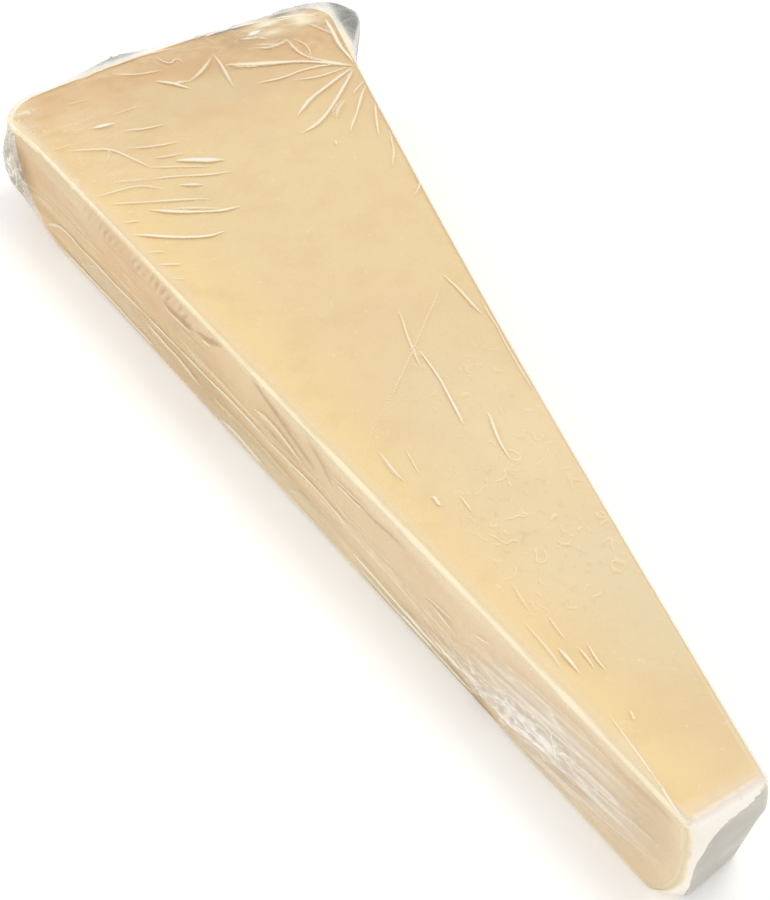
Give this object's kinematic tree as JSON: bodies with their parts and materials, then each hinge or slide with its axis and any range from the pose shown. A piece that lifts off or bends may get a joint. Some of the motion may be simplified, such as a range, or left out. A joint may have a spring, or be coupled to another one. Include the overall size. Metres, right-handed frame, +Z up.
{
  "type": "grana padano wedge",
  "caption": "Long cut-off wedge of hard golden cheese with its rind, lying on a broad side and wrapped tightly in clear film that creases into fans and loosens into ears at the rind end.",
  "frame": {"origin": "centre of the footprint, on the surface the wedge lies on", "axes": "+Z up, +X towards the cut-off tip, so the rind is the -X end; the long side that the picture shows faces -Y"},
  "size_m": [0.1724, 0.0642, 0.0192],
  "materials": {
    "cheese": "pale golden paste, fine-grained and slightly greasy, with a tan rind",
    "clear_film": "clear glossy stretch film with sharp creases"
  },
  "bodies": {
    "root": {"wrapped_wedge": "cheese"}
  },
  "joints": []
}
